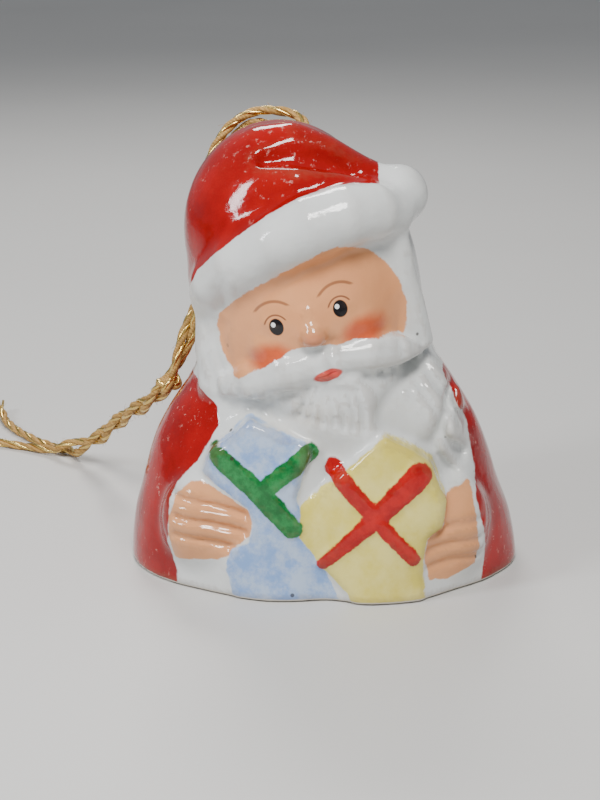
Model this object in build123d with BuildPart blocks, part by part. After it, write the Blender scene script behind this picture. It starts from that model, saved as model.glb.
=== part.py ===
from build123d import *
from math import cos, pi, radians, sin, tan
import os

# Porcelain bell ornament: a Father Christmas bust as the bell, hung on a doubled gold cord.
# Millimetres. The origin is the middle of the bell's rim, +Z is up and the face looks along -Y.

bell_height = 66.0
wall = 3.0                     # porcelain wall, slip cast
rim_half_width = 29.5          # rim, across the shoulders
back_half_depth = 21.4         # rim, at the back
hole_radius = 1.1              # the two cord holes
cord_radius = 0.6              # gold cord
knot_radius = 2.1
ring_wire = 0.45               # brass wire of the ring
ring_radius = 2.0
shank_wire = 0.4               # brass wire of the clapper
eye_radius = 1.1
bead_radius = 5.0
bead_bore = 0.45
bead_height = 11.0             # middle of the bead above the rim

# Outer form, one ellipse per height: height, half width, half depth, middle x, middle y
body_sections = [
    (0.0, rim_half_width, 20.5, 0.0, back_half_depth - 20.5),
    (3.0, 29.0, 20.2, -0.1, 0.9),
    (8.0, 28.0, 19.6, -0.3, 0.9),
    (14.0, 26.2, 18.6, -0.5, 0.8),
    (20.0, 24.0, 17.2, -0.6, 0.8),
    (25.0, 21.2, 15.7, -0.6, 0.9),
    (29.0, 18.8, 14.7, -0.8, 0.8),
    (34.0, 17.3, 14.5, -1.5, 0.3),
    (39.0, 16.8, 14.8, -2.3, 0.0),
    (45.0, 16.7, 15.2, -3.4, 0.0),
    (50.0, 16.1, 15.0, -4.4, 0.0),
    (55.0, 14.4, 13.6, -5.3, 0.2),
    (59.0, 11.8, 11.6, -6.0, 0.6),
    (62.5, 8.6, 8.8, -6.4, 1.0),
    (65.0, 4.8, 5.2, -6.5, 1.2),
    (bell_height, 1.6, 1.8, -6.5, 1.2),
]

os.makedirs("parts", exist_ok=True)


def finish(part, name):
    part.part.label = name
    export_step(part.part, "parts/" + name + ".step")


def bend_radii(points):
    # The largest arc that each corner's two runs leave room for
    spots = [Vector(*p) for p in points]
    radii = []
    for before, here, after in zip(spots, spots[1:], spots[2:]):
        run_in, run_out = here - before, after - here
        half_turn = radians(run_in.get_angle(run_out)) / 2
        radii.append(0.45 * min(run_in.length, run_out.length) / tan(half_turn))
    print("bend radii", [round(r, 1) for r in radii])
    return radii


def cord_tube(points, name):
    with BuildPart() as tube:
        with BuildLine():
            route = FilletPolyline(*points, radius=bend_radii(points))
        with BuildSketch(Plane(origin=route @ 0, z_dir=route % 0)):
            Circle(cord_radius)
        sweep(path=route)
    length = route.length
    section = pi * cord_radius**2
    print(name, "length", round(length, 1), "volume ratio", round(tube.part.volume / section / length, 4))
    finish(tube, name)


# ---- porcelain bell

hole_mouths = {"right": (-2.4, 9.4, 61.9), "left": (-7.6, 10.4, 61.6)}
hole_axes = {"right": (-0.12, 0.78, 0.61), "left": (-0.25, 0.77, 0.59)}
trim_tilt = 26.0               # the hat sits askew, higher on the right
trim_axis = (-sin(radians(trim_tilt)), 0, cos(radians(trim_tilt)))
trim_across = (cos(radians(trim_tilt)), 0, sin(radians(trim_tilt)))
trim_size = (16.6, 16.2)
trim_half_height = 3.2
peak_radii = (5.0, 3.0)        # the hat's folded tip, a cone lying over to the right
peak_length = 15.5
pompom_radius = 4.3
parcel_front = 21.4            # how far the parcels stand in front of the middle
parcel_back = 14.0

# Rolled trim of the hat: a thick tilted disc round the brow, part of the casting
with BuildPart() as trim_roll:
    with BuildSketch(Plane(origin=(-3.6, -1.8, 49.6), x_dir=trim_across, z_dir=trim_axis)):
        Ellipse(*trim_size)
    extrude(amount=trim_half_height, both=True)
    fillet(trim_roll.edges().filter_by(GeomType.ELLIPSE), 2.0)

with BuildPart() as bell_shell:
    for height, half_width, half_depth, x, y in body_sections:
        with BuildSketch(Plane.XY.offset(height)):
            with Locations((x, y)):
                Ellipse(half_width, half_depth)
    loft(ruled=True)
    add(trim_roll)
    # The hat's tip falls over to the right and ends in a pompom
    with Locations(Location((-5.5, -1.5, 60.6), (0, 105, 10))):
        Cone(*peak_radii, peak_length, align=(Align.CENTER, Align.CENTER, Align.MIN))
    with Locations((10.6, -4.0, 55.8)):
        Sphere(pompom_radius)
    # Moustache and beard
    for beard_middle, beard_radius in (((0.8, -7.2, 30.5), 10.6), ((5.5, -8.6, 22.0), 9.4)):
        with Locations(beard_middle):
            Sphere(beard_radius)
    # Two wrapped parcels held to the chest, leaning apart
    for across, up, lean, width, length, front in (
        (-8.2, 14.6, 17, 13.0, 23.0, 19.4),
        (6.6, 13.2, 50, 17.0, 15.2, parcel_front),
    ):
        with BuildSketch(Plane.XZ.offset(parcel_back)):
            with Locations(Location((across, up), lean)):
                RectangleRounded(width, length, 1.5)
        extrude(amount=front - parcel_back)
    # A hand outside each parcel
    for hand_middle, hand_radius in (((-16.8, -10.4, 10.2), 6.0), ((19.0, -9.2, 8.0), 6.4)):
        with Locations(hand_middle):
            Sphere(hand_radius)
    # The hollow keeps about one wall's thickness inside the outer form and is open at the rim
    for height, half_width, half_depth, x, y in body_sections[:-1]:
        hollow_height = height - wall * height / bell_height if height else -1.0
        with BuildSketch(Plane.XY.offset(hollow_height)):
            with Locations((x, y)):
                Ellipse(half_width - wall, half_depth - wall)
    loft(ruled=True, mode=Mode.SUBTRACT)
    for side, mouth in hole_mouths.items():
        hole_start = Vector(*mouth) + Vector(*hole_axes[side]) * 4
        with BuildSketch(Plane(origin=hole_start, z_dir=hole_axes[side])):
            Circle(hole_radius)
        extrude(amount=-12, mode=Mode.SUBTRACT)

finish(bell_shell, "bell_shell")

# ---- gold cord: one length, doubled through the two holes and knotted below

bight_route = [
    hole_mouths["right"],
    (-1.8, 5.5, 58.9),
    (-3.4, 3.6, 55.2),
    (-5.9, 3.6, 55.2),
    (-6.4, 6.6, 58.7),
    hole_mouths["left"],
]
cord_tube(bight_route, "cord_bight")

right_route = [
    hole_mouths["right"],
    (-2.7, 11.5, 63.5),
    (-4.3, 13.1, 64.8),
    (-7.8, 13.9, 65.5),
    (-11.5, 13.9, 65.0),
    (-15.1, 13.3, 62.4),
    (-17.7, 12.8, 57.6),
    (-18.9, 13.1, 51.8),
    (-19.3, 13.3, 45.2),
    (-19.5, 12.4, 38.9),
    (-21.0, 10.9, 33.2),
    (-22.7, 9.6, 28.6),
    (-24.6, 9.0, 24.0),
    (-27.8, 13.2, 19.9),
    (-31.6, 20.4, 15.9),
    (-35.6, 28.6, 10.6),
    (-40.4, 36.3, 4.8),
    (-46.4, 42.0, 1.1),
    (-53.0, 45.6, 0.7),
    (-60.0, 48.6, 0.7),
    (-66.0, 50.6, 0.8),
]
left_route = [
    hole_mouths["left"],
    (-8.1, 12.1, 63.1),
    (-9.7, 13.6, 63.8),
    (-12.7, 14.2, 62.6),
    (-14.9, 13.2, 59.6),
    (-16.9, 12.5, 55.0),
    (-17.5, 12.3, 49.4),
    (-17.7, 12.1, 43.6),
    (-18.4, 11.0, 37.6),
    (-19.8, 9.8, 32.4),
    (-21.6, 8.8, 27.8),
    (-23.6, 8.0, 23.4),
    (-26.7, 12.6, 19.2),
    (-30.3, 20.2, 15.2),
    (-34.4, 28.4, 9.9),
    (-38.9, 37.0, 3.6),
    (-44.6, 42.8, 0.7),
    (-50.0, 47.4, 0.7),
    (-55.0, 53.4, 0.8),
    (-58.8, 60.0, 1.0),
    (-60.2, 66.4, 2.0),
]
cord_tube(right_route, "cord_right_strand")
cord_tube(left_route, "cord_left_strand")

with BuildPart() as cord_knot:
    with Locations((-24.0, 8.6, 24.0)):
        Sphere(knot_radius)

finish(cord_knot, "cord_knot")

# ---- clapper: a brass ring on the bight, and a wire with a glazed bead

bight_low = Vector(-4.65, 3.6, 55.2)
ring_top = cord_radius + ring_wire + 0.15
ring_middle = bight_low + Vector(0, 0, ring_top - ring_radius)
shank_top = ring_middle - Vector(0, 0, ring_radius)
eye_middle = shank_top + Vector(0, 0, ring_wire + shank_wire + 0.1 - eye_radius)
bead_middle = Vector(bight_low.X, bight_low.Y, bead_height)

with BuildPart() as clapper_ring:
    with Locations(Location(tuple(ring_middle), (0, 90, 0))):
        Torus(ring_radius, ring_wire)

finish(clapper_ring, "clapper_ring")

foot_middle = bead_middle - Vector(0, 0, bead_radius + eye_radius + 0.2)
with BuildPart() as clapper_wire:
    for loop in (eye_middle, foot_middle):
        with Locations(Location(tuple(loop), (90, 0, 0))):
            Torus(eye_radius, shank_wire)
    with BuildSketch(Plane(origin=foot_middle + Vector(0, 0, eye_radius))):
        Circle(shank_wire)
    extrude(amount=(eye_middle - foot_middle).Z - 2 * eye_radius)

finish(clapper_wire, "clapper_wire")

with BuildPart() as clapper_bead:
    with Locations(bead_middle):
        Sphere(bead_radius)
        Hole(bead_bore)

finish(clapper_bead, "clapper_bead")
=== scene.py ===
import math

import bpy
import numpy as np
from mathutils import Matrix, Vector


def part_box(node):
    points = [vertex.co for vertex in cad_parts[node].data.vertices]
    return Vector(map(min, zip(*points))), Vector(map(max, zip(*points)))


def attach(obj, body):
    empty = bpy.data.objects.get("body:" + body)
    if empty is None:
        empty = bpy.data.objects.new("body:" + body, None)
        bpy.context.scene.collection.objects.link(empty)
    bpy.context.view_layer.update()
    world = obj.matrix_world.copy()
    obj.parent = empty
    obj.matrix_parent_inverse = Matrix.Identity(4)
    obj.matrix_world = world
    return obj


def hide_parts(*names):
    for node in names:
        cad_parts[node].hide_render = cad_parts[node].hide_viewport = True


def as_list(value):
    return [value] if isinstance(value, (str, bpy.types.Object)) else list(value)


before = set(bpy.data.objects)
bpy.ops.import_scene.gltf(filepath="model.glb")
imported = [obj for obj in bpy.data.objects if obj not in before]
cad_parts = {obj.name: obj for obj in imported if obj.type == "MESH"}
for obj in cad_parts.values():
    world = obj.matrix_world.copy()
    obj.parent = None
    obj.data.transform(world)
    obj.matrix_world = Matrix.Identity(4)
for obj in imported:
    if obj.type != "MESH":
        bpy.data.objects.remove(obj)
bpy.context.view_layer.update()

import openvdb
from mathutils import Vector

mm = 0.001


# Shader helper: a socket that can be added, subtracted and multiplied in Python
class Value:
    def __init__(self, graph, socket):
        self.graph, self.socket = graph, socket

    def maths(self, operation, first, second=None):
        return self.graph.node("ShaderNodeMath", {"operation": operation}, {0: first, 1: second})

    def __add__(self, other):
        return self.maths("ADD", self, other)

    def __sub__(self, other):
        return self.maths("SUBTRACT", self, other)

    def __rsub__(self, other):
        return self.maths("SUBTRACT", other, self)

    def __mul__(self, other):
        return self.maths("MULTIPLY", self, other)

    def __abs__(self):
        return self.maths("ABSOLUTE", self)

    __radd__, __rmul__ = __add__, __mul__

    def root(self):
        return self.maths("SQRT", self)

    def output(self, key):  # another output of the same node
        return Value(self.graph, self.socket.node.outputs[key])

    def rise(self, low, high):  # 0 below low, 1 above high, smooth between
        return self.graph.node("ShaderNodeMapRange", {"interpolation_type": "SMOOTHSTEP"},
                               {"Value": self, "From Min": low, "From Max": high})


class Graph:
    def __init__(self, name):
        self.material = bpy.data.materials.new(name)
        self.material.use_nodes = True
        self.tree = self.material.node_tree
        self.tree.nodes.clear()
        self.place = self.node("ShaderNodeTexCoord", output="Object")

    def node(self, kind, settings=None, values=None, output=0):
        made = self.tree.nodes.new(kind)
        for key, value in (settings or {}).items():
            setattr(made, key, value)
        for key, value in (values or {}).items():
            if isinstance(value, Value):
                self.tree.links.new(value.socket, made.inputs[key])
            elif value is not None:
                made.inputs[key].default_value = value
        return Value(self, made.outputs[output])

    def mix(self, amount, under, over):
        return self.node("ShaderNodeMix", {"data_type": "RGBA"}, {0: amount, 6: under, 7: over}, output=2)

    def noise(self, scale, detail=2.0, rough=0.5):
        return self.node("ShaderNodeTexNoise", {}, {"Vector": self.place, "Scale": scale,
                                                    "Detail": detail, "Roughness": rough})

    def painted(self, name):  # a signed distance in mm stored on the mesh, above 0 inside
        return self.node("ShaderNodeAttribute", {"attribute_name": name}, output="Fac")

    def bump(self, height, strength, distance):
        return self.node("ShaderNodeBump", {}, {"Height": height, "Strength": strength,
                                                "Distance": distance})

    def finish(self, **sockets):
        named = {key.replace("_", " "): value for key, value in sockets.items()}
        shader = self.node("ShaderNodeBsdfPrincipled", {}, named)
        out = self.tree.nodes.new("ShaderNodeOutputMaterial")
        self.tree.links.new(shader.socket, out.inputs["Surface"])
        return self.material


def tone(red, green, blue):  # paint colour as seen, 0 to 255, to a linear one
    return tuple((c / 255 / 12.92 if c < 10 else ((c / 255 + 0.055) / 1.055) ** 2.4)
                 for c in (red, green, blue)) + (1.0,)


# camera, lights and floor
view = {"target": (-3.7, 0.0, 24.1), "distance": 270.0, "elevation": 18.0, "lens": 81.2}


def setCamera():
    camera = bpy.data.objects.new("camera", bpy.data.cameras.new("camera"))
    bpy.context.scene.collection.objects.link(camera)
    tilt = math.radians(view["elevation"])
    target = Vector(view["target"]) * mm
    back = Vector((0, -math.cos(tilt), math.sin(tilt)))
    camera.location = target + back * view["distance"] * mm
    camera.rotation_euler = back.to_track_quat("Z", "Y").to_euler()
    camera.data.lens = view["lens"]
    camera.data.clip_start = 0.01
    bpy.context.scene.camera = camera


lamps = {  # place in mm, size in mm, power in watts, colour
    "window": ((0, -240, 350), (110, 120), 1.8, (1.0, 0.98, 0.95)),
    "second": ((-290, -150, 250), (60, 120), 0.75, (0.95, 0.97, 1.0)),
    "behind": ((-60, 310, 330), (150, 120), 1.0, (1.0, 0.98, 0.95)),
}


def setLights():
    for name, (place, size, power, colour) in lamps.items():
        light = bpy.data.lights.new(name, "AREA")
        light.shape = "RECTANGLE"
        light.size, light.size_y = size[0] * mm, size[1] * mm
        light.energy, light.color = power, colour
        lamp = bpy.data.objects.new(name, light)
        lamp.location = Vector(place) * mm
        aim = Vector((-3, 0, 30)) * mm - lamp.location
        lamp.rotation_euler = aim.to_track_quat("-Z", "Y").to_euler()
        bpy.context.scene.collection.objects.link(lamp)
    world = bpy.data.worlds.new("room")
    bpy.context.scene.world = world
    world.use_nodes = True
    world.node_tree.nodes["Background"].inputs[0].default_value = (0.85, 0.88, 0.92, 1)
    world.node_tree.nodes["Background"].inputs[1].default_value = 0.34


def meshObject(name, points, faces):
    mesh = bpy.data.meshes.new(name)
    mesh.from_pydata([tuple(p) for p in points], [], [tuple(f) for f in faces])
    mesh.validate()
    mesh.polygons.foreach_set("use_smooth", [True] * len(mesh.polygons))
    made = bpy.data.objects.new(name, mesh)
    bpy.context.scene.collection.objects.link(made)
    return made


def makeFloor():
    reach = 3.0
    corners = [(-reach, -reach, 0), (reach, -reach, 0), (reach, reach, 0), (-reach, reach, 0)]
    floor = meshObject("floor", corners, [(0, 1, 2, 3)])
    graph = Graph("paleFloor")
    cloud = graph.noise(9.0, 4.0)
    colour = graph.mix(cloud, tone(196, 195, 193), tone(206, 205, 203))
    floor.data.materials.append(graph.finish(Base_Color=colour, Roughness=0.55,
                                             Normal=graph.bump(graph.noise(900.0, 3.0), 0.05, 0.0002)))


setCamera()
setLights()
makeFloor()
print("stage set")

# gold cord
cord = {"width": 1.2, "gap": 0.68, "pitch": 21.0, "plies": 4, "plyTurn": 8.5, "yarn": 0.41, "lame": 0.34,
        "knot": 0.5, "step": 0.25}
mouths = {"right": (-2.4, 9.4, 61.9), "left": (-7.6, 10.4, 61.6)}
rightRoute = [
    mouths["right"], (-2.7, 11.5, 63.5), (-4.3, 13.1, 64.8), (-7.8, 13.9, 65.5), (-11.5, 13.9, 65.0),
    (-15.1, 13.3, 62.4), (-17.7, 12.8, 57.6), (-18.9, 13.1, 51.8), (-19.3, 13.3, 45.2), (-19.5, 12.4, 38.9),
    (-21.0, 10.9, 33.2), (-22.7, 9.6, 28.6), (-24.6, 9.0, 24.0), (-27.8, 13.2, 19.9), (-31.6, 20.4, 15.9),
    (-35.6, 28.6, 10.6), (-40.4, 36.3, 4.8), (-46.4, 42.0, 1.1), (-53.0, 45.6, 0.7), (-60.0, 48.6, 0.7),
    (-66.0, 50.6, 0.8)]
leftRoute = [
    mouths["left"], (-8.1, 12.1, 63.1), (-9.7, 13.6, 63.8), (-12.7, 14.2, 62.6), (-14.9, 13.2, 59.6),
    (-16.9, 12.5, 55.0), (-17.5, 12.3, 49.4), (-17.7, 12.1, 43.6), (-18.4, 11.0, 37.6), (-19.8, 9.8, 32.4),
    (-21.6, 8.8, 27.8), (-23.6, 8.0, 23.4), (-26.7, 12.6, 19.2), (-30.3, 20.2, 15.2), (-34.4, 28.4, 9.9),
    (-38.9, 37.0, 3.6), (-44.6, 42.8, 0.7), (-50.0, 47.4, 0.7), (-55.0, 53.4, 0.8), (-58.8, 60.0, 1.0),
    (-60.2, 66.4, 2.0)]
bightRoute = [mouths["right"], (-1.8, 5.5, 58.9), (-3.4, 3.6, 55.2), (-5.9, 3.6, 55.2), (-6.4, 6.6, 58.7),
              mouths["left"]]


def splineLine(name, route):  # points along a smooth spline through the route, in mm
    curve = bpy.data.curves.new(name, "CURVE")
    curve.dimensions = "3D"
    curve.resolution_u = 24
    spline = curve.splines.new("NURBS")
    spline.points.add(len(route) - 1)
    for point, (x, y, z) in zip(spline.points, route):
        point.co = (x * mm, y * mm, z * mm, 1.0)
    spline.order_u = 3
    spline.use_endpoint_u = True
    carrier = bpy.data.objects.new(name, curve)
    mesh = bpy.data.meshes.new_from_object(carrier)
    line = np.array([v.co for v in mesh.vertices]) / mm
    bpy.data.meshes.remove(mesh)
    bpy.data.objects.remove(carrier)
    bpy.data.curves.remove(curve)
    return line


def travelled(line):  # how far along the line each of its points is
    return np.concatenate([[0], np.cumsum(np.linalg.norm(np.diff(line, axis=0), axis=1))])


def spread(line, count):  # the same line with so many points, evenly
    along = travelled(line)
    at = np.linspace(0, along[-1], count)
    return np.stack([np.interp(at, along, line[:, k]) for k in range(3)], axis=1)


def evenly(line, step):  # the same line with a point at each step
    return spread(line, max(3, int(round(travelled(line)[-1] / step)) + 1))


def softly(line, rounds):  # evens out small kinks, the ends stay
    for _ in range(rounds):
        line[1:-1] = 0.25 * line[:-2] + 0.5 * line[1:-1] + 0.25 * line[2:]
    return line


def frames(line):  # two directions across the line that don't twist along it
    along = np.gradient(line, axis=0)
    along /= np.linalg.norm(along, axis=1)[:, None]
    across = np.zeros_like(line)
    first = np.cross(along[0], (0.0, 0.3, 1.0))
    across[0] = first / np.linalg.norm(first)
    for i in range(1, len(line)):
        side = across[i - 1] - along[i] * (across[i - 1] @ along[i])
        across[i] = side / np.linalg.norm(side)
    return along, across, np.cross(along, across)


def tube(line, radius, sides=6):  # closed tube, radius may be a list
    radius = np.broadcast_to(radius, len(line))
    _, across, up = frames(line)
    turn = np.linspace(0, 2 * np.pi, sides, endpoint=False)
    ring = np.cos(turn)[None, :, None] * across[:, None] + np.sin(turn)[None, :, None] * up[:, None]
    points = (line[:, None] + ring * radius[:, None, None]).reshape(-1, 3)
    faces = []
    for i in range(len(line) - 1):
        for j in range(sides):
            k = (j + 1) % sides
            faces.append((i * sides + j, i * sides + k, (i + 1) * sides + k, (i + 1) * sides + j))
    faces.append(tuple(range(sides))[::-1])
    faces.append(tuple((len(line) - 1) * sides + j for j in range(sides)))
    return points, faces


def joined(name, parts, kinds=None):  # one mesh out of several, a material number for each
    points, faces, numbers, base = [], [], [], 0
    for i, (p, f) in enumerate(parts):
        points.append(np.asarray(p))
        faces += [tuple(v + base for v in face) for face in f]
        numbers += [kinds[i] if kinds else 0] * len(f)
        base += len(p)
    made = meshObject(name, np.concatenate(points) * mm, faces)
    made.data.polygons.foreach_set("material_index", numbers)
    return made


def twistedPair(first, second):  # below the cap the two strands wind round each other
    lines = [evenly(first, cord["step"]), evenly(second, cord["step"])]
    begins = [int(np.argmax((line[:, 2] < 43) & (line[:, 0] < -15))) for line in lines]
    ends = [int(np.argmax(line[:, 0] < -45.5)) for line in lines]
    count = max(e - b for b, e in zip(begins, ends))
    one, two = (spread(line[b:e], count) for line, b, e in zip(lines, begins, ends))
    middle = softly((one + two) / 2, 60)
    _, across, up = frames(middle)
    half = (one - two) / 2
    angles = np.unwrap(np.arctan2((half * up).sum(1), (half * across).sum(1)))
    part = np.linspace(0, 1, count)
    turns = round(cord["step"] * count / cord["pitch"])
    angle = angles[0] + part * (angles[-1] - angles[0] - 2 * np.pi * turns)
    ease = (np.clip(part * 9, 0, 1) * np.clip((1 - part) * 9, 0, 1))[:, None]
    ease = ease * ease * (3 - 2 * ease)
    swing = across * np.cos(angle)[:, None] + up * np.sin(angle)[:, None]
    wide = np.linalg.norm(half, axis=1)[:, None] * (1 - ease) + cord["gap"] * ease
    wound = [middle + swing * wide, middle - swing * wide]
    done = []
    for line, b, e, new in zip(lines, begins, ends, wound):
        whole = np.concatenate([line[:b], new, line[e:]])
        done.append(evenly(softly(whole, 12), cord["step"]))
    return done


def plies(line, seed, unlaid=0.0):  # the yarns that one strand is laid from
    draw = np.random.default_rng(seed)
    along, across, up = frames(line)
    run = travelled(line)
    opened = np.clip((run - (run[-1] - unlaid)) / max(unlaid, 1), 0, 1) if unlaid else run * 0
    turned = np.concatenate([[0], np.cumsum(np.diff(run) * (1 - 0.85 * opened[1:]))]) / cord["plyTurn"]
    parts, kinds = [], []
    for n in range(cord["plies"]):
        shine = n % 2
        loose = 1 + 0.14 * np.sin(run / (2.1 + n) + draw.uniform(0, 6))
        reach = (0.36 if shine else 0.35) * loose + opened ** 1.5 * draw.uniform(0.1, 0.55)
        angle = 2 * np.pi * (turned + n / cord["plies"]) + 0.25 * np.sin(run / 3.7 + n)
        thick = cord["lame" if shine else "yarn"] * (1 - 0.3 * opened)
        path = line + across * (np.cos(angle) * reach)[:, None] + up * (np.sin(angle) * reach)[:, None]
        path[:, 2] = np.maximum(path[:, 2], thick + 0.02)
        parts.append(tube(path, thick, 8))
        kinds.append(shine)
    for _ in range(int(run[-1] * 1.3)):  # loose fibres that stand off the yarn
        i = int(draw.integers(3, len(line) - 4))
        turn, long = draw.uniform(0, 6.28), draw.uniform(0.4, 1.0)
        out = across[i] * math.cos(turn) + up[i] * math.sin(turn)
        lean = along[i] * draw.uniform(-1.4, 1.4)
        steps = np.linspace(0, 1, 5)[:, None]
        hair = line[i] + out * 0.45 + (out + lean * steps) * steps * long
        hair[:, 2] = np.maximum(hair[:, 2], 0.05)
        parts.append(tube(hair, 0.02, 3))
        kinds.append(0)
    return parts, kinds


def cordMaterials():
    yarn = Graph("goldYarn")
    fibre = yarn.node("ShaderNodeTexWave", {"wave_type": "BANDS", "bands_direction": "DIAGONAL"},
                      {"Vector": yarn.place, "Scale": 950.0, "Distortion": 6.0, "Detail": 3.0}, output="Fac")
    colour = yarn.mix(yarn.noise(420.0, 4.0), tone(142, 100, 42), tone(226, 184, 108))
    colour = yarn.mix(fibre * 0.35, colour, tone(96, 62, 22))
    yarnMat = yarn.finish(Base_Color=colour, Roughness=0.62, Metallic=0.25,
                          Normal=yarn.bump(fibre, 0.6, 0.00012))
    lame = Graph("goldLame")
    crease = lame.noise(520.0, 3.0, 0.6)
    colour = lame.mix(crease, tone(196, 148, 52), tone(250, 226, 150))
    lameMat = lame.finish(Base_Color=colour, Roughness=crease * 0.25 + 0.14,
                          Metallic=1.0, Normal=lame.bump(crease, 0.7, 0.0002))
    return yarnMat, lameMat


def knotLine():  # overhand knot: the same cord wound through itself
    low, high = (np.array(corner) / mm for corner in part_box("cord_knot"))
    t = np.linspace(0, 2 * np.pi, 121)
    loop = np.stack([np.sin(t) + 2 * np.sin(2 * t), np.cos(t) - 2 * np.cos(2 * t), -1.25 * np.sin(3 * t)],
                    axis=1)
    lean = np.array([[0.94, 0.10, -0.32], [-0.17, 0.96, -0.20], [0.29, 0.24, 0.93]])
    return (low + high) / 2 + cord["knot"] * loop @ lean.T


def layCord(name, node, line, seed, materials, unlaid=0.0):
    parts, kinds = plies(line, seed, unlaid)
    made = joined(name, parts, kinds)
    for material in materials:
        made.data.materials.append(material)
    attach(made, "bell")
    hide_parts(node)
    return made


def makeCord():
    materials = cordMaterials()
    lineA, lineB = twistedPair(splineLine("rightLine", rightRoute), splineLine("leftLine", leftRoute))
    right = layCord("cordRight", "cord_right_strand", lineA, 3, materials, 24.0)
    left = layCord("cordLeft", "cord_left_strand", lineB, 8, materials, 7.0)
    knot = layCord("cordKnot", "cord_knot", evenly(knotLine(), 0.2), 21, materials)
    bight = evenly(splineLine("bightLine", bightRoute), cord["step"])
    layCord("cordBight", "cord_bight", bight, 34, materials)
    for strand, line, mouth, others in ((right, lineA, "right", [knot]), (left, lineB, "left", [])):
        length = float(travelled(line)[-1]) * mm
        [tuple(p * mm) for p in line]
        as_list(others)
        print(strand.name, "is", round(length, 4), "m long")


makeCord()
print("cord laid")

# porcelain bell, modelled as a distance field in mm that is below 0 inside
def smoothMin(one, two, soft):
    share = np.clip(0.5 + 0.5 * (two - one) / soft, 0, 1)
    return two * (1 - share) + one * share - soft * share * (1 - share)


def ball(x, y, z, centre, radii):
    x, y, z = ((p - c) / r for p, c, r in zip((x, y, z), centre, radii))
    near = np.sqrt(x * x + y * y + z * z)
    slope = np.sqrt((x / radii[0]) ** 2 + (y / radii[1]) ** 2 + (z / radii[2]) ** 2) + 1e-6
    return near * (near - 1) / slope


def rope(x, y, z, points, radii):  # round rope through points, thick as its radii
    best = None
    for a, b, ra, rb in zip(points, points[1:], radii, radii[1:]):
        run = [q - p for p, q in zip(a, b)]
        long = sum(c * c for c in run)
        t = np.clip(((x - a[0]) * run[0] + (y - a[1]) * run[1] + (z - a[2]) * run[2]) / long, 0, 1)
        dx, dy, dz = (p - q - t * r for p, q, r in zip((x, y, z), a, run))
        gap = np.sqrt(dx ** 2 + dy ** 2 + dz ** 2) - (ra + (rb - ra) * t)
        best = gap if best is None else np.minimum(best, gap)
    return best


def lineGap(x, z, points):  # distance to a drawn line, seen from the front
    best = None
    for (ax, az), (bx, bz) in zip(points, points[1:]):
        t = np.clip(((x - ax) * (bx - ax) + (z - az) * (bz - az)) / ((bx - ax) ** 2 + (bz - az) ** 2), 0, 1)
        gap = np.hypot(x - ax - t * (bx - ax), z - az - t * (bz - az))
        best = gap if best is None else np.minimum(best, gap)
    return best


def groove(x, z, line, wide):  # 1 along a drawn line, fading to 0 beside it
    return np.exp(-(lineGap(x, z, [tuple(p) for p in line]) / wide) ** 2)


def within(x, z, outline):  # distance inside a drawn outline, below 0 outside it
    odd = np.zeros(np.broadcast(x, z).shape, bool)
    for (ax, az), (bx, bz) in zip(outline, outline[1:] + outline[:1]):
        if az != bz:
            odd ^= ((az > z) != (bz > z)) & (x < (bx - ax) * (z - az) / (bz - az) + ax)
    return np.where(odd, 1, -1) * lineGap(x, z, outline + outline[:1])


class Clay:
    def __init__(self, low, high, step):
        self.step = step
        self.axes = [np.arange(a, b + step / 2, step).astype(np.float32) for a, b in zip(low, high)]
        self.field = np.full([len(axis) for axis in self.axes], 8.0, np.float32)

    def whole(self):
        return np.meshgrid(*self.axes, indexing="ij", sparse=True)

    def blend(self, shape, low, high, soft, carve=False):
        spans = tuple(slice(max(0, int((a - soft - 1.5 - axis[0]) / self.step)),
                            max(0, int((b + soft + 1.5 - axis[0]) / self.step) + 2))
                      for axis, a, b in zip(self.axes, low, high))
        cut = [axis[span] for axis, span in zip(self.axes, spans)]
        old, new = self.field[spans], shape(*np.meshgrid(*cut, indexing="ij", sparse=True))
        self.field[spans] = -smoothMin(-old, new, soft) if carve else smoothMin(old, new, soft)

    def addBall(self, centre, radii, soft):
        low, high = np.array(centre) - radii, np.array(centre) + radii
        self.blend(lambda x, y, z: ball(x, y, z, centre, radii), low, high, soft)

    def addRope(self, points, radii, soft, carve=False):
        low, high = np.min(points, axis=0) - max(radii), np.max(points, axis=0) + max(radii)
        self.blend(lambda x, y, z: rope(x, y, z, points, radii), low, high, soft, carve)

    def sample(self, values, places):
        at = [np.clip(np.rint((row - axis[0]) / self.step).astype(int), 0, len(axis) - 1)
              for row, axis in zip(places.T, self.axes)]
        return values[at[0], at[1], at[2]]

    def surface(self):
        grid = openvdb.FloatGrid()
        grid.background = 3.0
        grid.copyFromArray(np.clip(self.field, -3, 3).astype(np.float32), tolerance=0.0)
        points, _, quads = grid.convertToPolygons(isovalue=0.0, adaptivity=0.0)
        places = points * self.step + np.array([axis[0] for axis in self.axes])
        a, b, c, d = (places[quads[:, k]] for k in range(4))
        volume = (np.cross(a, b) * c).sum() + (np.cross(a, c) * d).sum()
        return places, quads if volume > 0 else quads[:, ::-1]


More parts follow.
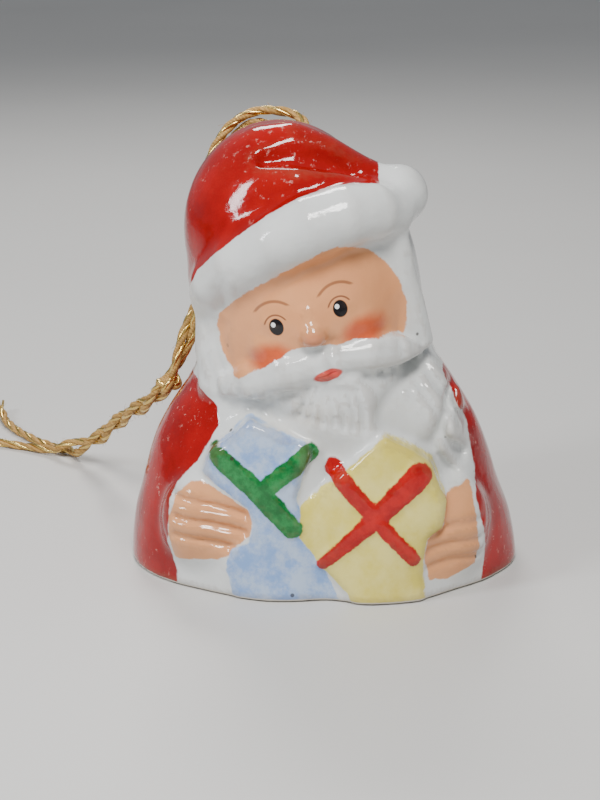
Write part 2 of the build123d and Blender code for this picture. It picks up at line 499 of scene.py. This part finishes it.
body = {
    "heights": [-2, 0, 3.5, 8, 12, 15.5, 19, 23, 26.5, 29, 32, 36, 40, 44, 48, 52, 56],
    "left": [29.4, 29.45, 29.3, 28.5, 27.3, 26.5, 25.4, 23.4, 20.9, 19.5, 18.6, 18.7, 19.0, 19.5, 19.9,
             19.5, 18],
    "right": [29.4, 29.45, 28.9, 27.8, 26.2, 25, 23.7, 22.2, 19.8, 18.2, 16.3, 15.1, 14.4, 13.8, 12.9,
              11.5, 9],
    "depths": [0, 8, 15, 22, 27, 32, 38, 44, 50, 56],
    "front": [19.4, 18.8, 17.6, 15.8, 14.6, 14.8, 15.4, 15.4, 14.6, 12],
    "back": [21.3, 20.6, 19.2, 17.3, 15.6, 14.8, 14.9, 15.2, 15, 13.4],
    "wall": 3.0,
    "squareness": 2.15,
    "step": 0.48,
}
hat = {"centre": (-6.5, 0.3, 50), "radii": (14.1, 14.5, 16)}
face = {"x": -2.0, "z": 39.6, "tilt": 17, "eyes": 4.6, "eyeHeight": 1.9}
trimUp = [(-20, 39), (-18.8, 39.6), (-18.1, 41.2), (-13.4, 44.6), (-8, 48.2), (-3.9, 50.4), (-0.1, 52),
          (3.8, 52.8), (9, 52.7)]  # x and height as seen from the front, a little from above
trimDown = [(-18.6, 37), (-15.6, 34.9), (-12, 37.3), (-7.9, 39.4), (-0.6, 43), (3.1, 44.4), (7.4, 45.2),
            (9.5, 44), (13, 43)]
backUp = [(-20, 45), (-17.5, 46.6), (-9, 50.2), (0, 54.2), (7, 56.7), (10.2, 57.6)]
whiskersUp = [(-17, 31), (-12.5, 32), (-8.5, 34.4), (-5, 36.8), (-1, 37.9), (1, 37.4), (4, 38.3),
              (9, 38.3), (14, 36.6)]
yellowEdge = [(8.2, 24.8), (-3.7, 14.4), (-3.8, 10), (-0.8, 5.8), (3, 1.7), (4.5, -1), (14.4, -1),
              (13.8, 6.3), (14.4, 9.5), (16.6, 10.9), (17.2, 14.8), (15.1, 20.4), (12.6, 22.6)]
blueEdge = [(-10.8, 26.6), (-2.8, 23.6), (-2.4, 22), (-4.2, 15.4), (-1, 8), (-0.4, 6), (1.2, 2), (2.5, -1),
            (-13, -1), (-14.4, 5.2), (-13.4, 7.5), (-11, 9), (-10.4, 11.5), (-11, 13.8), (-14.8, 16.2),
            (-17.7, 18.2), (-16.6, 21.2), (-14, 23.6)]
leftHand = [(-21.6, 14.6), (-19.5, 16.6), (-17.5, 17), (-14.5, 15.6), (-11, 13.6), (-10.4, 12), (-10.8, 9.8),
            (-12.6, 8.4), (-13.6, 6.8), (-15.6, 5.6), (-19.5, 5.2), (-21.8, 4.6), (-22.6, 8), (-22.6, 11.5)]
rightHand = [(17.4, 15.2), (20.7, 16.1), (21.6, 11.8), (22.3, 6.3), (21.6, 4), (17.7, 2.4), (14.9, 3),
             (14.1, 6.3), (14.4, 9.4), (16.6, 10.9), (17, 14.9)]
redBands = [((1.1, 19.9), (12.4, 7), 1.35, 1.0), ((13.0, 19.0), (-0.6, 6.1), 1.95, 0.8)]
greenBands = [((-15.1, 21), (-9.3, 16.4), 1.5, 1.7), ((-9.3, 16.4), (-4.8, 11.4), 1.7, 1.5),
              ((-8.6, 17.2), (-2.4, 22.1), 1.4, 1.45)]
coatLeft = [(-1, -21.6), (2.4, -21.6), (7, -22.9), (14, -22.4), (16, -21.3), (19, -18.5), (24.3, -15.3),
            (26.7, -15.6), (29.4, -19), (34, -24)]
coatRight = [(-1, 22.7), (5, 23.4), (8, 23.2), (11, 22.4), (13.8, 21.7), (16.5, 21.9), (20, 21.2),
             (22.8, 20.7), (25.9, 19.4), (28.8, 18), (34, 15.5)]


def level(points, at):  # second value of a drawn line where its first is at
    return np.interp(at, [p[0] for p in points], [p[1] for p in points])


def faceGrid(x, z):  # along and up the tilted face from its middle, for numbers or sockets
    tilt = math.radians(face["tilt"])
    across = (x - face["x"]) * math.cos(tilt) + (z - face["z"]) * math.sin(tilt)
    up = (z - face["z"]) * math.cos(tilt) - (x - face["x"]) * math.sin(tilt)
    return across, up


def bands(x, z, drawn):  # distance inside painted ribbons, below 0 outside them
    best = None
    for a, b, ra, rb in drawn:
        run = (b[0] - a[0], b[1] - a[1])
        t = np.clip(((x - a[0]) * run[0] + (z - a[1]) * run[1]) / (run[0] ** 2 + run[1] ** 2), 0, 1)
        gap = ra + (rb - ra) * t - np.hypot(x - a[0] - t * run[0], z - a[1] - t * run[1])
        best = gap if best is None else np.maximum(best, gap)
    return best


def plainForm(x, y, z):  # bust and hat before any relief
    heights = np.arange(-4, 72, 0.25)

    def even(at, values):
        row = np.interp(heights, at, values)
        for _ in range(30):
            row[1:-1] = 0.25 * row[:-2] + 0.5 * row[1:-1] + 0.25 * row[2:]
        return np.interp(z, heights, row)

    left, right = even(body["heights"], body["left"]), even(body["heights"], body["right"])
    depth = np.where(y < 0, even(body["depths"], body["front"]), even(body["depths"], body["back"]))
    middle, half = (right - left) / 2, (right + left) / 2
    power = body["squareness"]
    share = ((np.abs(x - middle) / half) ** power + (np.abs(y) / depth) ** power) ** (1 / power) + 1e-4
    away = np.hypot(x - middle, y) + 1e-3
    bust = away * (1 - 1 / share)
    lid = (z - 52 - 0.47 * (x + 4.5)) * 0.905
    bust = -smoothMin(-bust, -lid, 3.0)
    return smoothMin(bust, ball(x, y, z, hat["centre"], hat["radii"]), 2.5)


def parcel(edge, fronts, middle):  # parcel drawn from the front, its face leaning back and a little rounded
    def shape(x, y, z):
        outside = -within(x, z, edge)
        deep = np.abs(y - np.interp(z, (-1, 12, 27), fronts) - 0.022 * (x - middle) ** 2 - 4.5) - 4.5
        corner = 0.9
        one, two = outside + corner, deep + corner
        rounded = np.hypot(np.maximum(one, 0), np.maximum(two, 0))
        return rounded + np.minimum(np.maximum(one, two), 0) - corner
    return shape


def locks():  # hair and beard grooves as drawn lines: points, width, depth
    made = []

    def lock(x, z, width, depth):
        made.append((np.stack([x, z], axis=1), width, depth))

    t = np.linspace(0, 1, 8)
    for k in range(7):  # short strokes under the lower lip
        lock(-2.6 + 1.15 * k + (0.35 * k - 1.0) * t + 0.2 * np.sin(5 * t + k), 31.2 - (4.2 + 0.3 * k) * t,
             0.5, 0.7)
    t = np.linspace(0, 1, 10)
    for k in range(5):  # the beard's left edge
        lock(-5.0 - 1.7 * k + 2.6 * t + 0.5 * np.sin(5 * t + k), 30.6 - 0.2 * k - (4.6 - 0.3 * k) * t,
             0.65, 0.4)
    t = np.linspace(0, 1, 18)
    for k in range(8):  # long locks waving down to the right hand
        wave = 0.9 * np.sin(2 * np.pi * (1.6 * t + 0.1 * k))
        long = 13.5 + 0.9 * k - 0.9 * max(0, k - 4) ** 2
        lock(5.6 + 1.5 * k + (6.4 - 0.35 * k) * t + wave, 32.6 + 0.25 * k - long * t, 0.8, 1.25)
    t = np.linspace(0, 1, 10)
    for k in range(3):  # moustache
        lock(0.2 - 13.0 * t, 35.6 - 1.3 * k - (4.4 - 0.7 * k) * t ** 1.3, 0.5, 0.16)
        lock(1.6 + 12.0 * t, 36.0 - 1.2 * k + 0.5 * np.sin(3 * t) - 1.6 * t ** 3, 0.5, 0.16)
    lock((0.7, 0.8, 0.9), (38.2, 35, 33.4), 0.6, 0.6)  # parting of the moustache
    t = np.linspace(0, 1, 12)
    for k in range(4):  # side hair
        lock(-17.6 + 1.2 * k + 0.6 * np.sin(7 * t + k), 39.0 - 9.5 * t, 0.55, 0.3)
        lock(9.8 + 1.2 * k + 0.5 * np.sin(6 * t + k) + 1.4 * t, 48.5 - 0.6 * k - 14 * t, 0.6, 0.28)
    for x in (-15.5, -11.8, -7.6, -3.2, 1.4, 5.2):  # soft tufts across the trim
        lock((x, x + 1.2), (0.605 * x + 53, 0.6 * x + 49.5), 1.3, 0.12)
    lock((-14.0, -14.6, -14.2), (47, 44.5, 41.5), 0.9, 0.4)
    for z in (8.0, 10.7, 13.3):  # fingers of the left hand as seen
        lock((-21.5, -17, -11.5), (z + 0.9, z + 0.5, z - 0.6), 0.55, 0.85)
    for z in (5.2, 7.8, 10.4):  # and of the right one
        lock((14.5, 18.5, 22.2), (z - 0.5, z + 0.3, z + 0.2), 0.55, 0.6)
    return made


def facePlace(across, up, deep):
    tilt = math.radians(face["tilt"])
    return (face["x"] + across * math.cos(tilt) - up * math.sin(tilt), deep,
            face["z"] + across * math.sin(tilt) + up * math.cos(tilt))


def addBust(clay):
    clay.addBall((-1.8, -6.5, 40), (11.5, 11, 11), 2.5)  # face
    clay.addBall((2, -8, 29), (12, 10.5, 9), 2.0)  # beard
    clay.addBall((11.0, -7.4, 24), (9.5, 8.8, 10), 2.0)
    clay.addBall((4, -9.4, 24), (12, 8.2, 7), 2.0)
    clay.addRope([(8.5, -9.2, -8), (8, -9.2, 9), (6, -9, 14)], [11.5, 11.3, 10.2], 3.5)  # chest
    clay.addRope([(-7, -9.6, -8), (-8, -9.0, 9), (-9, -8.6, 16)], [9.6, 9.8, 9.2], 3.5)
    clay.addBall((-17.3, -12.4, 10.3), (6.6, 5.4, 7.4), 2.0)  # hands
    clay.addBall((18.4, -11.2, 8.6), (5.4, 6.0, 8.0), 2.0)
    for edge, fronts, middle in ((blueEdge, (-19.9, -19.6, -18.2), -5.5),
                                 (yellowEdge, (-21.1, -20.9, -18.9), 6.5)):
        clay.blend(parcel(edge, fronts, middle), (-19, -22, -1), (19, -8, 28), 1.0)


def addHair(clay):
    clay.addRope([(-15.9, -6, 40), (-15.8, -7, 34), (-15.8, -7.5, 29.5)], [2.6, 3.0, 2.6], 1.6)
    clay.addRope([(9.8, -8.3, 50), (11.2, -8.6, 44), (12.4, -8.4, 38), (14.0, -7.8, 31)],
                 [2.0, 2.3, 2.5, 2.6], 2.0)
    clay.addRope([(0.4, -15.9, 35.0), (-5.5, -15.3, 33.2), (-10, -13.0, 31.0), (-14, -10.8, 30.0)],
                 [2.3, 3.2, 3.0, 1.8], 0.9)  # moustache
    clay.addRope([(1.2, -15.9, 35.2), (6, -14.6, 35.7), (10, -12.4, 35.2), (14, -9.8, 33.8)],
                 [2.3, 3.0, 2.8, 1.8], 0.9)


def addFeatures(clay):
    clay.addBall(facePlace(0, -0.5, -17.6), (1.9, 1.9, 1.6), 1.0)  # nose
    clay.addRope([facePlace(0, 2.6, -16.9), facePlace(0, -0.2, -17.6)], [0.8, 1.2], 1.2)
    for side, cheekDeep, eyeDeep in ((-1, -13.9, -15.2), (1, -13.2, -15.0)):
        clay.addBall(facePlace(6.0 * side, -1.6, cheekDeep), (3.0, 2.6, 2.5), 1.6)
        clay.addBall(facePlace(4.6 * side, 1.9, eyeDeep), (1.9, 1.3, 1.4), 0.8)
    clay.addBall(facePlace(0.3, -6.6, -17.6), (1.9, 1.2, 0.8), 0.5)  # lower lip


def addCap(clay):
    clay.addRope([(-16.4, -6.2, 42.4), (-15.8, -8.9, 44.2), (-12, -12.2, 47.6), (-7, -14.2, 51.1),
                  (-2.2, -14.6, 53.6), (2.4, -13.6, 55.0), (6.2, -11.2, 55.2), (8.6, -8.0, 54.6)],
                 [2.9, 3.4, 4.1, 4.4, 4.5, 4.4, 4.1, 3.7], 2.0)  # trim in front
    clay.addRope([(-16.4, -6.2, 42.4), (-17.0, 0, 42.8), (-15.6, 8.0, 44.2), (-8.5, 12.2, 47.5),
                  (0, 12, 51.5), (7, 7.6, 54), (9.4, 2, 55), (8.6, -8.0, 54.6)],
                 [2.8, 2.5, 2.6, 2.9, 3.0, 3.0, 3.2, 3.4], 1.2)  # and round the back
    clay.addBall((10.4, -4, 56.2), (4.2, 4.4, 4.2), 1.8)  # pompom
    clay.addRope([(-9, -3, 62.3), (-5, -3.5, 63), (0, -4, 61.2), (4.5, -4, 59), (8.4, -4.2, 57.6)],
                 [3.2, 3.2, 3.1, 2.8, 2.4], 1.2)  # folded peak
    clay.addRope([(-9, -9.2, 59), (-4, -10.4, 59.4), (1.5, -9.8, 58.6), (6.5, -7.6, 57.4)],
                 [1.2, 1.9, 1.9, 1.6], 1.6)
    clay.addRope([(-8.6, -8.5, 61.9), (-4.6, -9.2, 62.9), (-0.5, -8.6, 62.0), (3.4, -7.6, 60.2)],
                 [1.1, 2.0, 1.7, 0.8], 1.4, carve=True)  # hollow under the fold
    clay.addRope([(-3, 5.5, 63.5), (2.5, 3.0, 60.8), (6.5, 1.4, 58.6)], [0.6, 1.2, 0.8], 1.4, carve=True)


def carveFront(clay):  # raised ribbons and cut locks, drawn on the front
    x, z = clay.axes[0][:, None], clay.axes[2][None, :]
    relief = 0.4 * np.clip(0.5 + bands(x, z, redBands + greenBands) / 0.7, 0, 1)
    parcels = np.maximum(within(x, z, blueEdge), within(x, z, yellowEdge))
    offParcels = np.clip(0.3 - parcels / 0.8, 0, 1)
    for line, wide, deep in locks():
        relief = relief - deep * offParcels * groove(x, z, line, wide)
    clay.field = clay.field - relief[:, None, :] * np.clip((-clay.whole()[1] - 4) / 4, 0, 1)


def carveBack(clay):  # hair at the back of the head
    x, z = clay.axes[0][:, None], clay.axes[2][None, :]
    behind = 0
    for k in range(10):
        line = np.array([(-16 + 3.1 * k + 0.8 * math.sin(k + t), 44.5 + 0.36 * (3.1 * k - 16) + 3 - 17 * t)
                         for t in np.linspace(0, 1, 9)])
        behind = behind + 0.45 * groove(x, z, line, 0.6)
    below = np.clip((level([(-20, 39.5), (-9, 44.3), (0, 48), (9, 51.5), (16, 51.5)], x) - z) / 1.5, 0, 1)
    above = np.clip((z - 30.5) / 1.5, 0, 1)
    clay.field = clay.field + (behind * below * above)[:, None, :] * np.clip((clay.whole()[1] - 3) / 4, 0, 1)


def sculptBell():
    clay = Clay((-33, -25, -2), (33, 25, 69), body["step"])
    x, y, z = clay.whole()
    plain = plainForm(x, y, z).astype(np.float32)
    clay.field = plain.copy()
    addBust(clay)
    addHair(clay)
    addFeatures(clay)
    addCap(clay)
    carveFront(clay)
    carveBack(clay)
    for k in range(3):  # hand made unevenness
        wave = np.sin(x * (0.31 + 0.1 * k) + k) * np.sin(y * 0.4 + 2 * k) * np.sin(z * 0.35 + k)
        clay.field = clay.field + 0.12 * wave
    clay.field = -smoothMin(-clay.field, plain + body["wall"], 0.4)  # hollow
    for side, lean in (("right", (-0.12, 0.78, 0.61)), ("left", (-0.25, 0.77, 0.59))):  # cord holes
        mouth, lean = np.array(mouths[side]), np.array(lean)
        clay.addRope([tuple(mouth - lean * 5), tuple(mouth + lean * 3)], [1.05, 1.05], 0.5, carve=True)
    clay.field = -smoothMin(-clay.field, np.broadcast_to(z - 0.04, clay.field.shape), 0.9)  # foot rim
    return clay, plain


def crease(clay, places):  # above 0 in hollows, below 0 on ridges
    soft = clay.field.copy()
    for _ in range(4):
        for axis in range(3):
            soft = (np.roll(soft, 1, axis) + 2 * soft + np.roll(soft, -1, axis)) / 4
    return clay.sample(soft - clay.field, places)


def oval(across, up, wide, tall):  # 0 in its middle, 1 on its edge, from sockets
    across, up = across * (1 / wide), up * (1 / tall)
    return (across * across + up * up).root()


def skinPaint(g, across, up, ragged, cloud, fine):
    skin = g.mix(cloud, tone(228, 164, 116), tone(212, 138, 90))
    cheek = 1.0 - oval(abs(across) - 6.7, up + 2.3, 3.3, 2.3) + ragged * 0.2 + (cloud - 0.5) * 0.4
    skin = g.mix(cheek.rise(-0.3, 0.55) * 0.8, skin, g.mix(fine, tone(176, 36, 6), tone(206, 70, 22)))
    nose = (1.0 - oval(across, up + 0.9, 2.1, 1.7)).rise(-0.1, 0.7)
    return g.mix(nose * 0.35, skin, tone(221, 112, 84))


def drawFeatures(g, colour, across, up, front, ragged):  # brows, lids, eyes with a painted highlight in each, and mouth
    aside, above = abs(across) - face["eyes"], up - face["eyeHeight"]
    brow = (0.075 - abs(1.0 - oval(aside, above + 0.4, 3.6, 3.9))).rise(0.0, 0.05)
    brow = brow * above.rise(2.3, 2.7) * front
    lid = (0.09 - abs(1.0 - oval(aside, above + 0.3, 1.75, 1.95))).rise(0.0, 0.06)
    lid = lid * above.rise(0.5, 0.8) * front
    eye = (1.0 - oval(aside, above, 1.0, 1.2)).rise(-0.08, 0.08) * front
    colour = g.mix(brow * 0.75, colour, tone(128, 78, 52))
    colour = g.mix(lid * 0.8, colour, tone(96, 56, 44))
    colour = g.mix(eye, colour, tone(20, 18, 22))
    # painted highlight: a small white glint in each eye, on the same side of both
    for side in (-1, 1):
        glint = 1.0 - oval(across - face["eyes"] * side + 0.34, above - 0.42, 0.33, 0.36)
        colour = g.mix(glint.rise(-0.1, 0.2) * front, colour, tone(240, 242, 244))
    lips = (1.0 - oval(across - 0.3, up + 6.5, 2.1, 0.85) + ragged * 0.2).rise(-0.1, 0.15) * front
    colour = g.mix(lips, colour, tone(204, 74, 66))
    seam = (0.16 - oval(across - 0.3, (up + 6.3) * 8.0, 11.0, 6.0)).rise(0.0, 0.05) * front
    return g.mix(seam * 0.6, colour, tone(120, 30, 30))


def porcelainMaterial():
    g = Graph("paintedPorcelain")
    parts = g.node("ShaderNodeSeparateXYZ", {}, {0: g.place})
    x, y, z = (parts.output(k) * (1 / mm) for k in range(3))
    across, up = faceGrid(x, z)
    front = (y * -1.0).rise(8.0, 9.0)
    ragged = (g.noise(620.0, 4.0, 0.6) - 0.5) * 0.9
    cloud, fine, brush = g.noise(120.0, 5.0, 0.6), g.noise(1300.0, 4.0, 0.7), g.noise(420.0, 4.0, 0.7)

    def layer(under, name, colour):  # paint with a ragged edge where the mesh says so
        return g.mix((g.painted(name) + ragged).rise(-0.13, 0.13), under, colour)

    stain = g.noise(75.0, 4.0, 0.65).rise(0.52, 0.78)
    white = g.mix(cloud, tone(202, 205, 205), tone(222, 224, 222))
    colour = g.mix(stain * 0.3, white, tone(190, 172, 138))
    colour = layer(colour, "skin", skinPaint(g, across, up, ragged, cloud, fine))
    colour = layer(colour, "hands", g.mix(cloud, tone(226, 166, 118), tone(208, 138, 92)))
    blue = g.mix(g.noise(210.0, 5.0, 0.7).rise(0.38, 0.62), tone(126, 160, 212), tone(176, 194, 220))
    yellow = g.mix(g.noise(190.0, 4.0, 0.6).rise(0.35, 0.65), tone(216, 200, 92), tone(226, 214, 126))
    colour = layer(layer(colour, "blue", blue), "yellow", yellow)
    strokes = brush.rise(0.35, 0.7)
    colour = layer(colour, "green", g.mix(strokes, tone(6, 92, 40), tone(34, 130, 66)))
    colour = layer(colour, "ribbon", g.mix(strokes, tone(160, 4, 8), tone(188, 22, 18)))
    scuff = g.noise(880.0, 6.0, 0.75).rise(0.58, 0.68) * g.noise(90.0, 2.0).rise(0.46, 0.6)
    red = g.mix(cloud.rise(0.3, 0.7), tone(134, 0, 2), tone(164, 4, 4))
    red = g.mix(scuff * 0.6, red, tone(222, 160, 148))
    paintedRed = (g.painted("red") + ragged * 0.7).rise(-0.12, 0.12)
    colour = g.mix(paintedRed, colour, red)
    colour = drawFeatures(g, colour, across, up, front, ragged)
    # painted shade and dirt: hollows and creases are darkened towards brown, standing in for the shade in
    # the grooves
    creaseShadeAndDirt = (g.painted("crease") + (fine - 0.5) * 0.02).rise(0.03, 0.2)
    colour = g.mix(creaseShadeAndDirt * 0.2, colour, tone(126, 96, 68))
    cells = g.node("ShaderNodeTexVoronoi", {}, {"Vector": g.place, "Scale": 230.0}, output="Distance")
    chosen = g.node("ShaderNodeSeparateColor", {}, {0: cells.output("Color")})  # specks in few cells
    speck = (0.085 - cells).rise(0.0, 0.03) * chosen.rise(0.78, 0.8)
    colour = g.mix(speck * 0.8, colour, tone(52, 46, 40))
    bare = (0.55 - z + ragged * 0.25).rise(-0.1, 0.1)  # unglazed foot rim
    colour = g.mix(bare, colour, tone(214, 208, 196))
    rough = scuff * paintedRed * 0.35 + bare * 0.6 + fine * 0.05 + 0.07
    ripple = g.noise(190.0, 3.0) * 1.9 + paintedRed * 0.12 + brush * 0.16
    return g.finish(Base_Color=colour, Roughness=rough, Normal=g.bump(ripple, 0.35, 0.0004),
                    Coat_Weight=(1.0 - bare) * 0.12, Coat_Roughness=0.04, IOR=1.43)


def paintAreas(clay, plain, places):  # how far inside each painted area a point is, in mm
    x, y, z = places.T
    outer = clay.sample(plain, places) + 2.45  # below 0 on the wall of the hollow
    facing = np.minimum(outer, -y - 6.0)
    across, up = faceGrid(x, z)
    cheeks = (1 - np.hypot(across / 13.5, up / 12.0)) * 12
    turn = np.clip((y + 6) / 12, 0, 1)
    slant = math.radians(view["elevation"])
    seen = z * math.cos(slant) + y * math.sin(slant)
    above = (seen - level(trimUp, x)) * (1 - turn) + (z - level(backUp, x)) * turn
    coat = np.maximum(np.maximum(level(coatLeft, z) - x, x - level(coatRight, z)), y + 1.0)
    coat = np.minimum(coat, 30.2 + 0.06 * x - z)
    return {
        "skin": np.minimum.reduce([facing, cheeks, level(trimDown, x) - seen, z - level(whiskersUp, x)]),
        "hands": np.minimum(facing, np.maximum(within(x, z, leftHand), within(x, z, rightHand))),
        "blue": np.minimum(facing, within(x, z, blueEdge)),
        "yellow": np.minimum(facing, within(x, z, yellowEdge)),
        "green": np.minimum(facing, bands(x, z, greenBands)),
        "ribbon": np.minimum(facing, bands(x, z, redBands)),
        "red": np.minimum(outer, np.maximum(coat, np.minimum(above, 7.3 - x))),
        "crease": crease(clay, places),
    }


def makeBell():
    clay, plain = sculptBell()
    places, quads = clay.surface()
    print("bell has", len(quads), "faces")
    mesh = bpy.data.meshes.new("porcelainBell")
    mesh.from_pydata((places * mm).tolist(), [], quads.tolist())
    mesh.polygons.foreach_set("use_smooth", [True] * len(quads))
    bell = bpy.data.objects.new("porcelainBell", mesh)
    bpy.context.scene.collection.objects.link(bell)
    for name, values in paintAreas(clay, plain, places).items():
        mesh.attributes.new(name, "FLOAT", "POINT").data.foreach_set("value", values.astype(np.float32))
    mesh.materials.append(porcelainMaterial())
    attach(bell, "bell")
    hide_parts("bell_shell")


makeBell()
print("bell modelled")

# clapper hanging from the bight of the cord
clapper = {"x": -4.65, "y": 3.6, "ringHeight": 54.4, "ringRadius": 2.0, "ringWire": 0.45,
           "eyeHeight": 52.25, "footHeight": 4.7, "eyeRadius": 1.1, "wire": 0.4,
           "beadHeight": 11.0, "beadRadius": 5.0, "bore": 0.45}


def brassMaterial():
    g = Graph("agedBrass")
    tarnish = g.noise(380.0, 5.0, 0.7).rise(0.42, 0.66)
    colour = g.mix(tarnish, tone(214, 176, 98), tone(128, 92, 48))
    return g.finish(Base_Color=colour, Metallic=1.0, Roughness=tarnish * 0.25 + 0.22,
                    Normal=g.bump(g.noise(1800.0, 3.0), 0.2, 0.00005))


def beadMaterial():
    g = Graph("beadGlaze")
    cloud = g.noise(260.0, 4.0, 0.6)
    colour = g.mix(cloud, tone(214, 214, 208), tone(236, 235, 230))
    speck = g.noise(1500.0, 2.0).rise(0.72, 0.75)
    colour = g.mix(speck * 0.7, colour, tone(70, 60, 50))
    return g.finish(Base_Color=colour, Roughness=cloud * 0.08 + 0.06, Coat_Weight=0.6,
                    Normal=g.bump(g.noise(240.0, 3.0), 0.2, 0.0003))


def makeRing():  # jump ring, open a crack
    turn = np.linspace(0.16, 2 * np.pi - 0.16, 61) - math.pi / 2
    circle = np.stack([np.full(61, clapper["x"]), clapper["y"] + clapper["ringRadius"] * np.cos(turn),
                       clapper["ringHeight"] + clapper["ringRadius"] * np.sin(turn)], axis=1)
    return joined("clapperRing", [tube(circle, clapper["ringWire"], 14)])


def makeWire():  # an eye, a straight shank and another eye
    x, y, radius = clapper["x"], clapper["y"], clapper["eyeRadius"]
    line = []
    for a in np.linspace(-math.pi / 2 + 0.75, 3 * math.pi / 2, 30):
        line.append((x + radius * math.cos(a), y, clapper["eyeHeight"] + radius * math.sin(a)))
    for z in np.linspace(clapper["eyeHeight"] - radius - 0.6, clapper["footHeight"] + radius + 0.6, 40):
        line.append((x, y, z))
    for a in np.linspace(math.pi / 2, -3 * math.pi / 2 + 0.75, 30):
        line.append((x + radius * math.cos(a), y, clapper["footHeight"] + radius * math.sin(a)))
    return joined("clapperWire", [tube(softly(evenly(np.array(line), 0.3), 2), clapper["wire"], 12)])


def makeBead():  # a ball with a bore, turned from one profile
    big, bore = clapper["beadRadius"], clapper["bore"]
    lean = math.asin((bore + 0.18) / big)
    rows = [(big * math.sin(a), big * math.cos(a)) for a in np.linspace(lean, math.pi - lean, 36)]
    rows += [(bore, -big * math.cos(lean) + 0.2), (bore, 0), (bore, big * math.cos(lean) - 0.2)]
    sides = 56
    points, faces = [], []
    for i, (radius, height) in enumerate(rows):
        for k in range(sides):
            turn = 2 * math.pi * k / sides
            points.append((clapper["x"] + radius * math.cos(turn), clapper["y"] + radius * math.sin(turn),
                           clapper["beadHeight"] + height))
            here, there, on = i * sides, (i + 1) % len(rows) * sides, (k + 1) % sides
            faces.append((here + k, there + k, there + on, here + on))
    return joined("clapperBead", [(points, faces)])


def makeClapper():
    brass = brassMaterial()
    for piece, material, rider, slot, node in (
            (makeRing(), brass, "ring", "brass_wire", "clapper_ring"),
            (makeWire(), brass, "clapper", "brass_wire", "clapper_wire"),
            (makeBead(), beadMaterial(), "clapper", "bead_glaze", "clapper_bead")):
        piece.data.materials.append(material)
        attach(piece, rider)
        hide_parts(node)


makeClapper()
print("clapper hung")
